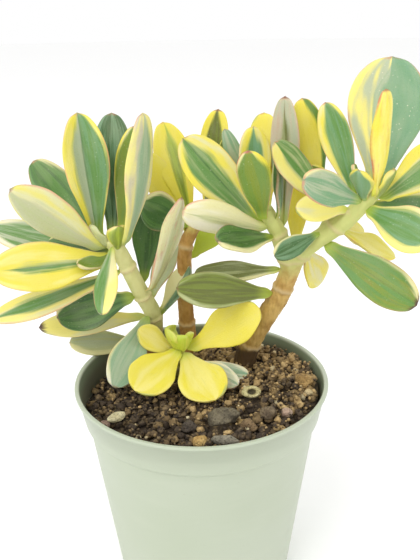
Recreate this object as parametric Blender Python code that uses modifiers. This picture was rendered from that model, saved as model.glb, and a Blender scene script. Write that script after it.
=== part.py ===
"""A variegated jade plant in a plastic nursery pot.

Metres, +Z up. The origin is the middle of the pot's underside, which is the face it stands on.
Four woody shoots rise from the soil. The right one carries two side shoots. Every leaf is a thick,
blunt paddle with a narrow foot, and stands a hair's breadth off the shoot that carries it.
Azimuth 0 points along +X and 90 along +Y; the plant's front faces -Y.
"""

import math

import bmesh
import bpy
from mathutils import Matrix, Vector

MM = 0.001
GAP = 0.3

# Pot, in millimetres.
POT_HEIGHT = 95.0
RIM_RADIUS = 52.5
LIP_HEIGHT = 1.6
LIP_REACH = 0.8
LIP_ROUND = 0.5
STEP_ROUND = 0.3
COLLAR_HEIGHT = 14.0
COLLAR_FOOT_RADIUS = 49.2
BODY_TOP_RADIUS = 47.6
BASE_RADIUS = 37.5
FOOT_CHAMFER = 1.2
WALL = 1.2
FLOOR = 2.0
POT_STEPS = 48
DRAIN_RADIUS = 3.5
DRAIN_CIRCLE = 26.0
DRAINS = 5

# Soil, in millimetres.
SOIL_EDGE_HEIGHT = 88.5
SOIL_MOUND = 1.5
MOUND_RINGS = (0.45, 0.8)
SOIL_SLACK = 0.1
SOIL_STEPS = 48

# Shoots: where each one runs, in millimetres from its buried foot to its growing tip.
ROUTES = {
    "left": ((-18, 30, 68), (-23, 34, 90), (-21, 27, 110), (-26, 18, 127), (-32, 12, 145), (-36, 8, 154)),
    "middle": ((-6, 37, 68), (-6, 37, 90), (-7, 34, 109), (-7, 31, 128), (-6, 28, 144), (0, 28, 155)),
    "right": (
        (14, 23, 68),
        (19, 22, 89),
        (23, 19, 104),
        (34, 14, 126),
        (39, 11, 142),
        (47, 6, 152),
        (57, 1, 161),
        (66, -4, 174),
    ),
    "centre": ((38, 12, 137), (31, 8, 156), (26, 6, 165)),
    "back": ((49, 5, 153), (53, 8, 163), (53, 10, 172)),
    "front": ((-14, 19, 76), (-11, 16, 88), (-9, 14, 98), (-8, 12, 104)),
}
# Radius at the foot and at the tip of each shoot, in millimetres.
GIRTH = {
    "left": (4.6, 3.4),
    "middle": (4.4, 3.0),
    "right": (5.4, 3.4),
    "centre": (4.4, 3.2),
    "back": (3.2, 2.2),
    "front": (2.4, 1.7),
}
FORKS = {"right": ("centre", "back")}
ROUTE_STEP = 7.0
# The centre and back shoots grow out of the right one.
STEMS = ("left", "middle", "right", "front")

# Leaves: distance below the shoot's tip, azimuth, elevation, length, width, bend, roll, finish.
# Distances are in millimetres and angles in degrees. A positive bend curls the tip up.
LEAVES = {
    "left": (
        (2, 155, 84, 50, 18, 10, -45, "striped"),
        (3, 90, 70, 51, 17, 15, 0, "green"),
        (1, 45, 76, 44, 13, 15, 40, "green"),
        (4, -30, 77, 54, 14, 30, -10, "grey"),
        (6, 150, 42, 47, 17, 15, -35, "green"),
        (6, -160, 40, 43, 19, 15, 65, "grey"),
        (10, 170, 10, 52, 16, 20, -40, "green"),
        (12, -150, 5, 49, 20, 15, -60, "yellow"),
        (12, 180, -13, 43, 15, 15, -55, "yellow"),
        (19, -155, -12, 54, 14, 15, -25, "striped"),
        (5, -95, -38, 30, 9, -20, -10, "yellow"),
        (34, -158, -7, 33, 18, 15, -60, "green"),
        (49, -173, -3, 46, 12, 15, -60, "yellow"),
        (66, -158, 11, 34, 12, 15, -50, "grey"),
        (48, -115, -33, 35, 15, -10, -25, "grey"),
        (27, 60, 79, 30, 13, 10, 20, "green"),
        (30, -30, 68, 46, 11, 20, -20, "grey"),
    ),
    "middle": (
        (2, -160, 30, 22, 17, 10, -75, "green"),
        (1, 130, 66, 43, 17, 10, -15, "yellow"),
        (1, 45, 80, 46, 14, 10, 20, "green"),
        (20, 40, 35, 20, 11, 10, 40, "green"),
    ),
    "centre": (
        (7, 170, 48, 44, 19, 15, -65, "striped"),
        (9, -155, 18, 37, 14, 10, 75, "grey"),
        (13, -135, 10, 31, 14, 10, -35, "green"),
        (4, -120, 66, 32, 13, 10, 20, "green"),
        (0, 120, 84, 31, 13, 10, -20, "striped"),
        (2, 90, 67, 39, 14, 10, -10, "yellow"),
        (3, -45, 92, 25, 8, 10, 50, "green"),
        (9, 145, 63, 41, 8, 10, -30, "striped"),
        (9, 45, 91, 50, 12, 10, 20, "grey"),
    ),
    "back": (
        (6, -155, 49, 35, 12, 10, -90, "striped"),
        (3, 155, 76, 38, 13, 10, -65, "yellow"),
    ),
    "right": (
        (0, 65, 78, 48, 29, 10, 10, "striped"),
        (2, -90, 82, 40, 9, 10, 30, "yellow"),
        (4, 140, 67, 37, 12, 10, -55, "green"),
        (4, -140, 22, 34, 13, 10, -80, "grey"),
        (10, -175, 5, 20, 11, 10, -60, "yellow"),
        (4, -5, 38, 32, 17, 10, 60, "striped"),
        (8, 10, -8, 32, 16, 10, 45, "green"),
        (9, -50, -12, 30, 17, -10, 55, "grey"),
        (33, -30, -27, 42, 17, -10, 60, "green"),
        (24, 15, -30, 28, 11, 10, 40, "yellow"),
        (25, -160, -20, 20, 9, 10, -50, "green"),
        (42, 50, -56, 22, 14, 10, 100, "yellow"),
        (61, -160, 12, 42, 15, 10, -70, "grey"),
        (50, 170, -6, 36, 11, 10, -40, "grey"),
    ),
    "front": (
        (2, -10, 34, 36, 18, 10, 65, "yellow"),
        (3, -125, -10, 30, 19, 10, -30, "yellow"),
        (5, -65, -11, 32, 20, 10, 15, "yellow"),
        (5, -165, 42, 20, 11, 10, -60, "yellow"),
        (8, -35, -10, 28, 11, 10, 30, "grey"),
    ),
}
LEAF_RINGS = 7
LEAF_SIDES = 8
LEAF_THICKNESS = 2.4
LEAF_FOOT = 0.28
LEAF_WIDEST = 0.62
LEAF_CUP = 0.18

# Pebbles: place on the soil, three half sizes and a turn about Z, in millimetres and degrees.
PEBBLES = (
    ("pebble_pale", (-33, -26), (3.6, 2.2, 1.8), 35, (0.62, 0.58, 0.44)),
    ("pebble_hollow", (20, -11), (3.4, 3.0, 2.2), 10, (0.50, 0.42, 0.30)),
    ("pebble_dark", (8, -30), (6.0, 4.2, 3.0), 20, (0.16, 0.12, 0.09)),
)
PEBBLE_LOBES = 0.12

COLOURS = {
    "striped": (0.30, 0.40, 0.12),
    "green": (0.12, 0.24, 0.10),
    "grey": (0.30, 0.38, 0.24),
    "yellow": (0.78, 0.72, 0.20),
    "bark": (0.32, 0.20, 0.10),
    "young bark": (0.48, 0.50, 0.22),
    "pot": (0.58, 0.64, 0.50),
    "soil": (0.09, 0.05, 0.035),
}


def clear_scene():
    """Starts from an empty file."""
    for thing in list(bpy.data.objects):
        bpy.data.objects.remove(thing)


def new_collection(name):
    """A collection of its own under the scene."""
    collection = bpy.data.collections.new(name)
    bpy.context.scene.collection.children.link(collection)
    return collection


def plain_material(name, colour, roughness):
    """One Principled material with a single colour."""
    material = bpy.data.materials.new(name)
    material.use_nodes = True
    shader = material.node_tree.nodes["Principled BSDF"]
    shader.inputs["Base Color"].default_value = (*colour, 1.0)
    shader.inputs["Roughness"].default_value = roughness
    shader.inputs["Metallic"].default_value = 0.0
    return material


def add_object(name, mesh, collection, colour, roughness):
    """Puts a mesh into a collection as a smooth-shaded object with its own material."""
    thing = bpy.data.objects.new(name, mesh)
    collection.objects.link(thing)
    mesh.materials.clear()
    mesh.materials.append(plain_material(name, colour, roughness))
    mesh.shade_smooth()
    return thing


def as_cutter(thing):
    """Marks an object as a tool that shapes others and isn't part of the plant."""
    thing.hide_render = True
    thing.display_type = "WIRE"


def turned(name, profile, steps, collection, colour, roughness):
    """Turns a profile of (radius, height) in millimetres about Z."""
    mesh = bpy.data.meshes.new(name)
    points = [(radius * MM, 0.0, height * MM) for radius, height in profile]
    edges = [(i, i + 1) for i in range(len(points) - 1)]
    mesh.from_pydata(points, edges, [])
    thing = add_object(name, mesh, collection, colour, roughness)
    screw = thing.modifiers.new("turn", "SCREW")
    screw.steps = steps
    screw.render_steps = steps
    screw.use_merge_vertices = True
    screw.merge_threshold = 0.00001
    return thing


def cut(thing, cutter):
    """Takes the cutter's shape out of an object."""
    boolean = thing.modifiers.new(cutter.name, "BOOLEAN")
    boolean.operation = "DIFFERENCE"
    boolean.solver = "EXACT"
    boolean.object = cutter


def join(thing, other):
    """Grows an object by another's shape."""
    boolean = thing.modifiers.new(other.name, "BOOLEAN")
    boolean.operation = "UNION"
    boolean.solver = "EXACT"
    boolean.object = other


# The pot: a tapered wall under a deeper collar with a slim lip, and a flat floor with drain holes.
def make_pot(parts, cutters):
    collar_foot = POT_HEIGHT - COLLAR_HEIGHT
    lip_foot = POT_HEIGHT - LIP_HEIGHT
    collar_top_radius = RIM_RADIUS - LIP_REACH
    profile = (
        (0.0, FLOOR),
        (BASE_RADIUS - WALL, FLOOR),
        (BODY_TOP_RADIUS - WALL, collar_foot - WALL),
        (COLLAR_FOOT_RADIUS - WALL, collar_foot + WALL),
        (collar_top_radius - WALL, POT_HEIGHT - LIP_ROUND),
        (collar_top_radius - WALL + LIP_ROUND, POT_HEIGHT),
        (RIM_RADIUS - LIP_ROUND, POT_HEIGHT),
        (RIM_RADIUS, POT_HEIGHT - LIP_ROUND),
        (RIM_RADIUS, lip_foot + STEP_ROUND),
        (collar_top_radius, lip_foot),
        (COLLAR_FOOT_RADIUS, collar_foot + STEP_ROUND),
        (COLLAR_FOOT_RADIUS - STEP_ROUND, collar_foot),
        (BODY_TOP_RADIUS, collar_foot - STEP_ROUND),
        (BASE_RADIUS, FOOT_CHAMFER),
        (BASE_RADIUS - FOOT_CHAMFER, 0.0),
        (0.0, 0.0),
    )
    pot = turned("pot", profile, POT_STEPS, parts, COLOURS["pot"], 0.45)
    for number in range(DRAINS):
        angle = 2.0 * math.pi * number / DRAINS
        bpy.ops.mesh.primitive_cylinder_add(
            vertices=12,
            radius=DRAIN_RADIUS * MM,
            depth=3.0 * FLOOR * MM,
            location=(DRAIN_CIRCLE * MM * math.cos(angle), DRAIN_CIRCLE * MM * math.sin(angle), 0.0),
        )
        drill = bpy.context.object
        drill.name = f"drain_drill_{number + 1}"
        for owner in list(drill.users_collection):
            owner.objects.unlink(drill)
        cutters.objects.link(drill)
        as_cutter(drill)
        cut(pot, drill)
    return pot


# The soil: it fills the pot up to a low mound, and leaves a fitted socket round each buried shoot.
def make_soil(parts, cutters):
    collar_foot = POT_HEIGHT - COLLAR_HEIGHT
    wall_slope = (BODY_TOP_RADIUS - BASE_RADIUS) / (collar_foot - WALL - FLOOR)
    collar_slope = (RIM_RADIUS - LIP_REACH - COLLAR_FOOT_RADIUS) / COLLAR_HEIGHT
    foot_radius = BASE_RADIUS - WALL - GAP
    shoulder = collar_foot - WALL - GAP
    shoulder_radius = foot_radius + wall_slope * (shoulder - FLOOR) - SOIL_SLACK
    edge_radius = COLLAR_FOOT_RADIUS - WALL - GAP + collar_slope * (SOIL_EDGE_HEIGHT - collar_foot - WALL)
    profile = (
        (0.0, SOIL_EDGE_HEIGHT + SOIL_MOUND),
        *((share * edge_radius, SOIL_EDGE_HEIGHT + SOIL_MOUND * (1.0 - share**2)) for share in MOUND_RINGS),
        (edge_radius - SOIL_SLACK, SOIL_EDGE_HEIGHT),
        (COLLAR_FOOT_RADIUS - WALL - GAP - STEP_ROUND, collar_foot + WALL + STEP_ROUND),
        (shoulder_radius, shoulder),
        (foot_radius, FLOOR + GAP),
        (0.0, FLOOR + GAP),
    )
    soil = turned("soil", profile, SOIL_STEPS, parts, COLOURS["soil"], 0.95)
    for stem in STEMS:
        socket = shoot_mesh(f"{stem}_socket", stem, GAP, cutters, buried_only=True)
        as_cutter(socket)
        cut(soil, socket)
    return soil


def smooth_route(points):
    """Points about ROUTE_STEP apart on a Catmull-Rom curve through the given ones."""
    given = [Vector(point) for point in points]
    padded = [2.0 * given[0] - given[1], *given, 2.0 * given[-1] - given[-2]]
    smooth = []
    for a, b, c, d in zip(padded, padded[1:], padded[2:], padded[3:]):
        pieces = max(1, round((c - b).length / ROUTE_STEP))
        for piece in range(pieces):
            t = piece / pieces
            smooth.append(
                0.5 * (2.0 * b + (c - a) * t + (2.0 * a - 5.0 * b + 4.0 * c - d) * t**2
                       + (3.0 * b - a - 3.0 * c + d) * t**3)
            )
    smooth.append(given[-1])
    return smooth


def route_lengths(route):
    """Distance from the foot to each point of a route."""
    lengths = [0.0]
    for start, end in zip(route, route[1:]):
        lengths.append(lengths[-1] + (end - start).length)
    return lengths


def girth_at(shoot, fraction):
    """Radius of a shoot at a fraction of its length."""
    foot, tip = GIRTH[shoot]
    return foot + (tip - foot) * fraction


def shoot_mesh(name, shoot, extra, collection, buried_only=False):
    """A tapered round tube along a shoot's route, as a mesh; extra widens and lengthens its foot."""
    route = smooth_route(ROUTES[shoot])
    lengths = route_lengths(route)
    radii = [girth_at(shoot, length / lengths[-1]) + extra for length in lengths]
    if extra:
        route[0] = route[0] + (route[0] - route[1]).normalized() * extra
    if buried_only:
        above = [i for i, point in enumerate(route) if point.z > SOIL_EDGE_HEIGHT + SOIL_MOUND + 1.0]
        route = route[: above[0] + 1]
        radii = radii[: above[0] + 1]
    curve = bpy.data.curves.new(name, "CURVE")
    curve.dimensions = "3D"
    curve.bevel_depth = MM
    curve.bevel_resolution = 2
    curve.use_fill_caps = True
    spline = curve.splines.new("POLY")
    spline.points.add(len(route) - 1)
    for point, place, radius in zip(spline.points, route, radii):
        point.co = (*(place * MM), 1.0)
        point.radius = radius
    tube = bpy.data.objects.new(name + "_curve", curve)
    collection.objects.link(tube)
    bpy.context.view_layer.update()
    mesh = bpy.data.meshes.new_from_object(tube.evaluated_get(bpy.context.evaluated_depsgraph_get()))
    bpy.data.objects.remove(tube)
    mesh.name = name
    tidy = bmesh.new()
    tidy.from_mesh(mesh)
    bmesh.ops.remove_doubles(tidy, verts=tidy.verts, dist=0.000001)
    bmesh.ops.recalc_face_normals(tidy, faces=tidy.faces)
    tidy.to_mesh(mesh)
    tidy.free()
    colour = COLOURS["young bark"] if shoot in ("front", "centre", "back") else COLOURS["bark"]
    return add_object(name, mesh, collection, colour, 0.8)


def make_stems(parts, cutters):
    """One solid for each plant: its buried foot, its shoot and the shoots that fork from it."""
    for stem in STEMS:
        trunk = shoot_mesh(f"stem_{stem}", stem, 0.0, parts)
        for branch in FORKS.get(stem, ()):
            limb = shoot_mesh(f"branch_{branch}", branch, 0.0, cutters)
            as_cutter(limb)
            join(trunk, limb)


def node_on(shoot, below):
    """The point of a shoot's middle line this far below its tip, and the radius there."""
    route = smooth_route(ROUTES[shoot])
    lengths = route_lengths(route)
    wanted = lengths[-1] - below
    for start, end, low, high in zip(route, route[1:], lengths, lengths[1:]):
        if low <= wanted <= high:
            place = start.lerp(end, (wanted - low) / (high - low))
            return place, girth_at(shoot, wanted / lengths[-1])
    return route[0], girth_at(shoot, 0.0)


def leaf_half_width(t):
    """Half width of a leaf at a fraction of its length, as a fraction of the widest half."""
    if t < LEAF_WIDEST:
        rise = t / LEAF_WIDEST
        return LEAF_FOOT + (1.0 - LEAF_FOOT) * rise * rise * (3.0 - 2.0 * rise)
    fall = (t - LEAF_WIDEST) / (1.0 - LEAF_WIDEST)
    return math.sqrt(1.0 - fall**2)


def leaf_turn(azimuth, elevation, roll):
    """Turns +X along the leaf, +Y across it and +Z out of its upper face."""
    heading = Matrix.Rotation(math.radians(azimuth), 3, "Z")
    climb = Matrix.Rotation(math.radians(-elevation), 3, "Y")
    return heading @ climb @ Matrix.Rotation(math.radians(roll), 3, "X")


def make_leaf(name, foot, turn, length, width, bend, finish, parts):
    """A closed paddle lofted along an arc: eight-sided rings between two end points."""
    bend_angle = math.radians(bend)

    def middle_line(t):
        """Place and direction on an arc whose chord is the leaf's length."""
        if abs(bend_angle) < 0.001:
            return Vector((length * t, 0.0, 0.0)), 0.0
        radius = length / (2.0 * math.sin(bend_angle / 2.0))
        heading = bend_angle * (t - 0.5)
        along = radius * (math.sin(heading) + math.sin(bend_angle / 2.0))
        lift = radius * (math.cos(bend_angle / 2.0) - math.cos(heading))
        return Vector((along, 0.0, lift)), heading

    shape = bmesh.new()
    rings = []
    for ring in range(1, LEAF_RINGS + 1):
        t = 0.5 * (1.0 - math.cos(math.pi * ring / (LEAF_RINGS + 1)))
        centre, heading = middle_line(t)
        half_width = 0.5 * width * leaf_half_width(t)
        half_thickness = 0.5 * LEAF_THICKNESS * min(1.0, leaf_half_width(t) + 0.35)
        up = Vector((-math.sin(heading), 0.0, math.cos(heading)))
        verts = []
        for side in range(LEAF_SIDES):
            angle = 2.0 * math.pi * side / LEAF_SIDES
            across = half_width * math.cos(angle)
            rise = half_thickness * math.sin(angle) + LEAF_CUP * across**2 / (0.5 * width)
            point = centre + Vector((0.0, across, 0.0)) + up * rise
            verts.append(shape.verts.new((foot + turn @ point) * MM))
        rings.append(verts)
    ends = [shape.verts.new((foot + turn @ middle_line(t)[0]) * MM) for t in (0.0, 1.0)]
    for lower, upper in zip(rings, rings[1:]):
        for i in range(LEAF_SIDES):
            j = (i + 1) % LEAF_SIDES
            shape.faces.new((lower[i], lower[j], upper[j], upper[i]))
    for i in range(LEAF_SIDES):
        j = (i + 1) % LEAF_SIDES
        shape.faces.new((ends[0], rings[0][j], rings[0][i]))
        shape.faces.new((ends[1], rings[-1][i], rings[-1][j]))
    bmesh.ops.recalc_face_normals(shape, faces=shape.faces)
    mesh = bpy.data.meshes.new(name)
    shape.to_mesh(mesh)
    shape.free()
    return add_object(name, mesh, parts, COLOURS[finish], 0.4)


def make_leaves(parts):
    """Every leaf of every shoot, numbered from the growing tip down."""
    for shoot, rows in LEAVES.items():
        for number, row in enumerate(rows, 1):
            below, azimuth, elevation, length, width, bend, roll, finish = row
            place, radius = node_on(shoot, below)
            turn = leaf_turn(azimuth, elevation, roll)
            outward = Vector((math.cos(math.radians(azimuth)), math.sin(math.radians(azimuth)), 0.0))
            side_reach = 0.5 * width * LEAF_FOOT * abs(outward.dot(turn.col[1]))
            face_reach = 0.5 * LEAF_THICKNESS * abs(outward.dot(turn.col[2]))
            foot = place + outward * (radius + GAP + side_reach + face_reach)
            make_leaf(f"leaf_{shoot}_{number:02d}", foot, turn, length, width, bend, finish, parts)


def soil_height(x, y):
    """Height of the mound at a place."""
    outward = min(1.0, math.hypot(x, y) / COLLAR_FOOT_RADIUS)
    return SOIL_EDGE_HEIGHT + SOIL_MOUND * (1.0 - outward**2)


def make_pebbles(parts):
    """Rounded stones that lie on the soil."""
    for name, (x, y), half_sizes, turn, colour in PEBBLES:
        stone = bmesh.new()
        bmesh.ops.create_icosphere(stone, subdivisions=2, radius=1.0)
        for vert in stone.verts:
            lobe = math.sin(3.0 * vert.co.x + 2.0 * vert.co.y + turn) * math.cos(4.0 * vert.co.z + turn)
            vert.co *= 1.0 + PEBBLE_LOBES * lobe
        lift = soil_height(x, y) + half_sizes[2] * (1.0 + PEBBLE_LOBES) + GAP
        place = Matrix.Translation(Vector((x, y, lift)) * MM)
        scale = Matrix.Diagonal((*(Vector(half_sizes) * MM), 1.0))
        stone.transform(place @ Matrix.Rotation(math.radians(turn), 4, "Z") @ scale)
        mesh = bpy.data.meshes.new(name)
        stone.to_mesh(mesh)
        stone.free()
        add_object(name, mesh, parts, colour, 0.9)


def main():
    clear_scene()
    parts = new_collection("potted_jade_plant")
    cutters = new_collection("cutters")
    make_pot(parts, cutters)
    make_soil(parts, cutters)
    make_stems(parts, cutters)
    make_leaves(parts)
    make_pebbles(parts)


main()
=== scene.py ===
# %% [markdown]
# # A variegated jade plant in its nursery pot
#
# A jade plant is a small succulent shrub: woody shoots, thick paddle leaves in pairs, a plastic
# nursery pot and coarse mineral grit. In this lesson each of them is made in turn.
#
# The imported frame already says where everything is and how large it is. So the first step loads
# the frame, and every later step reads its places from there. The work is done in metres, but a
# plant is easier to think about in millimetres, so one constant turns millimetres into metres.

# %% Load the frame and keep its size
import math
import random

import bmesh
import bpy
import numpy as np
from mathutils import Matrix, Vector, noise
from mathutils.bvhtree import BVHTree


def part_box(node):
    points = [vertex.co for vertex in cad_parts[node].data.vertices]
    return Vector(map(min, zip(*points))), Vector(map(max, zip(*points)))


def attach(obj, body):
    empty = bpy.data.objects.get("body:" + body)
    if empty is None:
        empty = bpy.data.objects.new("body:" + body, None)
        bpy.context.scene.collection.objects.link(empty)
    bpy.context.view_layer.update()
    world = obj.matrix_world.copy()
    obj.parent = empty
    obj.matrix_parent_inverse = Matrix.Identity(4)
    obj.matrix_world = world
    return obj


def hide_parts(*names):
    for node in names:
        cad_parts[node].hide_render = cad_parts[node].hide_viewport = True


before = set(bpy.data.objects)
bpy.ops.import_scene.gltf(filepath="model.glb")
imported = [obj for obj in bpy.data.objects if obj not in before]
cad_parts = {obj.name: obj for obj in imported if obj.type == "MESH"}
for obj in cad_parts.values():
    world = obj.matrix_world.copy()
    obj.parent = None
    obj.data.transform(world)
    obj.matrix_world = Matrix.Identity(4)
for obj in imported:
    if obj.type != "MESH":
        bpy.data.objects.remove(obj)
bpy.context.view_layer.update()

MM = 0.001

# %% [markdown]
# ## A small kit for finishes
#
# A finish is a Principled shader with some nodes in front of it. Three things come back in every
# finish on this plant: a colour mixed from two others, a noise that is stretched along the growth,
# and a soft step that turns a number into a mask. Short helpers for those keep each finish
# readable as a recipe.
#
# Colours are written as people pick them, from 0 to 255, and turned into the linear values that
# the shader works with.


# %% Colours and finish helpers
STUDIO = 0.87


def paint(red, green, blue):
    """The shader's linear colour for a colour as given, a little darker as the studio is bright."""
    def linear(channel):
        share = channel / 255.0
        return STUDIO * (share / 12.92 if share <= 0.04045 else ((share + 0.055) / 1.055) ** 2.4)
    return (linear(red), linear(green), linear(blue), 1.0)


class Finish:
    """One procedural material and the helpers that add nodes to it."""

    def __init__(self, name, roughness=0.5):
        self.material = bpy.data.materials.new(name)
        self.material.use_nodes = True
        self.nodes = self.material.node_tree.nodes
        self.links = self.material.node_tree.links
        self.shader = self.nodes["Principled BSDF"]
        self.shader.inputs["Roughness"].default_value = roughness

    def join(self, socket, value):
        """Link a socket to another node, or set it to a plain value."""
        if isinstance(value, bpy.types.NodeSocket):
            self.links.new(value, socket)
        else:
            socket.default_value = value

    def sum_up(self, operation, first, second=0.0, third=None):
        made = self.nodes.new("ShaderNodeMath")
        made.operation = operation
        self.join(made.inputs[0], first)
        self.join(made.inputs[1], second)
        if third is not None:
            self.join(made.inputs[2], third)
        return made.outputs[0]

    def mix(self, share, first, second):
        made = self.nodes.new("ShaderNodeMix")
        made.data_type = "RGBA"
        self.join(made.inputs["Factor"], share)
        self.join(made.inputs[6], first)
        self.join(made.inputs[7], second)
        return made.outputs[2]

    def step(self, value, start, end, low=0.0, high=1.0):
        """A soft step: low before start, high after end."""
        made = self.nodes.new("ShaderNodeMapRange")
        made.interpolation_type = "SMOOTHSTEP"
        self.join(made.inputs["Value"], value)
        made.inputs["From Min"].default_value = start
        made.inputs["From Max"].default_value = end
        made.inputs["To Min"].default_value = low
        made.inputs["To Max"].default_value = high
        return made.outputs[0]

    def times(self, first, second):
        return self.sum_up("MULTIPLY", first, second)

    def plus(self, first, second):
        return self.sum_up("ADD", first, second)

    def split(self, place):
        """The X, Y and Z of a place, as three numbers."""
        made = self.nodes.new("ShaderNodeSeparateXYZ")
        self.links.new(place, made.inputs[0])
        return made.outputs

    def drawn_out(self, place, stretch, shift=(0.0, 0.0, 0.0)):
        """The same places, stretched and shifted, so that a noise becomes streaks."""
        made = self.nodes.new("ShaderNodeMapping")
        self.join(made.inputs["Vector"], place)
        made.inputs["Scale"].default_value = stretch
        made.inputs["Location"].default_value = shift
        return made.outputs[0]

    def noise(self, place, scale, detail=3.0, rough=0.55, twist=0.0):
        made = self.nodes.new("ShaderNodeTexNoise")
        self.join(made.inputs["Vector"], place)
        made.inputs["Scale"].default_value = scale
        made.inputs["Detail"].default_value = detail
        made.inputs["Roughness"].default_value = rough
        made.inputs["Distortion"].default_value = twist
        return made.outputs["Fac"]

    def cells(self, place, scale, feature="F1"):
        made = self.nodes.new("ShaderNodeTexVoronoi")
        made.feature = feature
        self.join(made.inputs["Vector"], place)
        made.inputs["Scale"].default_value = scale
        return made.outputs["Distance"]

    def said(self, name, part="Fac"):
        """A number or a place that the mesh carries at each vertex."""
        made = self.nodes.new("ShaderNodeAttribute")
        made.attribute_name = name
        return made.outputs[part]

    def rest_place(self):
        """Where a point is on the piece as it was built, in metres."""
        return self.nodes.new("ShaderNodeTexCoord").outputs["Object"]

    def relief(self, height, strength, depth):
        made = self.nodes.new("ShaderNodeBump")
        made.inputs["Strength"].default_value = strength
        made.inputs["Distance"].default_value = depth
        self.join(made.inputs["Height"], height)
        self.join(self.shader.inputs["Normal"], made.outputs[0])

    def wear(self, colour=None, roughness=None, subsurface=0.0, glow=None, glow_reach=0.002):
        """Give the shader its colour and the values that are the same all over."""
        if colour is not None:
            self.join(self.shader.inputs["Base Color"], colour)
        if roughness is not None:
            self.join(self.shader.inputs["Roughness"], roughness)
        if subsurface:
            self.shader.inputs["Subsurface Weight"].default_value = subsurface
            self.shader.inputs["Subsurface Radius"].default_value = glow or (1.0, 0.8, 0.4)
            self.shader.inputs["Subsurface Scale"].default_value = glow_reach
        return self.material


def new_piece(name, mesh, material, node=None):
    """Put a finished mesh in the scene: it rides on the plant, and may stand for a frame node."""
    piece = bpy.data.objects.new(name, mesh)
    bpy.context.scene.collection.objects.link(piece)
    mesh.materials.clear()
    mesh.materials.append(material)
    for face in mesh.polygons:
        face.use_smooth = True
    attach(piece, "root")
    if node is not None:
        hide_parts(node)
    return piece


def frame_points(node):
    """A frame node's own corners, in millimetres."""
    return np.array([v.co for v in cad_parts[node].data.vertices], float) / MM


def note(mesh, name, values):
    """Write one number for each corner of a mesh, for its finish to read."""
    mesh.attributes.new(name, "FLOAT", "POINT").data.foreach_set("value", values)


print("finish kit ready")

# %% [markdown]
# ## The pot
#
# A nursery pot is blown or pressed from thin polypropylene: a tapered wall, a deep collar that
# steps outwards so that pots stack, and a thin rolled lip. It is a turned form, so a lathe is the
# honest way to make it: draw half of the outline once, outside and inside, and turn it round the
# axis. Small rounds at the lip, the collar's step and the foot are drawn in the outline, because
# those are what catch the light.


# %% Turn the pot
def turned(name, outline, steps):
    """A closed mesh of revolution from (radius, height) points in millimetres."""
    work = bmesh.new()
    rings = []
    for radius, height in outline:
        if radius < 0.001:
            rings.append([work.verts.new((0.0, 0.0, height * MM))])
            continue
        ring = []
        for step in range(steps):
            angle = 2.0 * math.pi * step / steps
            ring.append(work.verts.new(
                (radius * MM * math.cos(angle), radius * MM * math.sin(angle), height * MM)))
        rings.append(ring)
    for lower, upper in zip(rings, rings[1:]):
        for i in range(steps):
            j = (i + 1) % steps
            if len(lower) == 1:
                work.faces.new((lower[0], upper[j], upper[i]))
            elif len(upper) == 1:
                work.faces.new((lower[i], lower[j], upper[0]))
            else:
                work.faces.new((lower[i], lower[j], upper[j], upper[i]))
    bmesh.ops.recalc_face_normals(work, faces=work.faces)
    mesh = bpy.data.meshes.new(name)
    work.to_mesh(mesh)
    work.free()
    return mesh


def rounded(outline, corners):
    """The outline with some of its corners turned into small arcs of the given radius."""
    made = []
    for i, point in enumerate(outline):
        if i not in corners:
            made.append(point)
            continue
        here = Vector(point)
        before = Vector(outline[i - 1])
        after = Vector(outline[i + 1])
        reach = min(corners[i], 0.45 * (before - here).length, 0.45 * (after - here).length)
        start = here + (before - here).normalized() * reach
        end = here + (after - here).normalized() * reach
        for step in range(6):
            t = step / 5.0
            bend = (1 - t) ** 2 * start + 2 * t * (1 - t) * here + t**2 * end
            made.append((bend.x, bend.y))
    return made


pot_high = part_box("pot")[1]
rim = pot_high.x / MM
pot_height = pot_high.z / MM
COLLAR = 14.0
WALL = 1.2
LIP = 1.2
foot = 0.714 * rim
collar_foot = pot_height - COLLAR
shoulder = 0.907 * rim
collar_radius = 0.937 * rim
outline = [
    (0.0, 0.0), (foot - 1.2, 0.0), (foot, 1.4), (shoulder, collar_foot - 1.4),
    (collar_radius, collar_foot), (rim - 0.9, pot_height - LIP), (rim, pot_height - LIP),
    (rim, pot_height), (rim - 1.7, pot_height), (collar_radius - WALL, collar_foot + 0.9),
    (shoulder - WALL, collar_foot - 1.0), (foot - WALL, 2.2), (0.0, 2.2)]
corners = {1: 0.8, 2: 0.8, 3: 0.9, 4: 0.9, 6: 0.4, 7: 0.5, 8: 0.6, 9: 0.8, 10: 0.8, 11: 1.0}
pot_mesh = turned("pot_shell", rounded(outline, corners), 180)
print("pot: rim radius", round(rim, 1), "mm, height", round(pot_height, 1), "mm,",
      len(pot_mesh.polygons), "faces")

# %% [markdown]
# The plastic is a pale sage polypropylene. It is satin rather than shiny, lets a little light into
# its thin wall, and carries faint flow marks from the mould and dry dust from the grit. Inside the
# collar, a mask from the radius and the height paints shade on the wall above the grit, and brown
# soil dust low down by the soil line.

# %% Finish of the pot
plastic = Finish("sage_polypropylene", roughness=0.42)
place = plastic.rest_place()
flow = plastic.noise(plastic.drawn_out(place, (1.0, 1.0, 4.0)), 26.0, 3.0)
cloud = plastic.noise(place, 14.0, 2.0)
dust = plastic.step(plastic.noise(place, 900.0, 2.0), 0.66, 0.74)
body_colour = plastic.mix(plastic.step(cloud, 0.3, 0.7), paint(184, 193, 170), paint(190, 198, 178))
body_colour = plastic.mix(plastic.step(flow, 0.45, 0.8, 0.0, 0.25), body_colour, paint(203, 210, 190))
body_colour = plastic.mix(plastic.times(dust, 0.12), body_colour, paint(150, 138, 118))
spot = plastic.split(place)
level = plastic.nodes.new("ShaderNodeCombineXYZ")
plastic.links.new(spot["X"], level.inputs["X"])
plastic.links.new(spot["Y"], level.inputs["Y"])
reach = plastic.nodes.new("ShaderNodeVectorMath")
reach.operation = "LENGTH"
plastic.links.new(level.outputs[0], reach.inputs[0])
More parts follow.
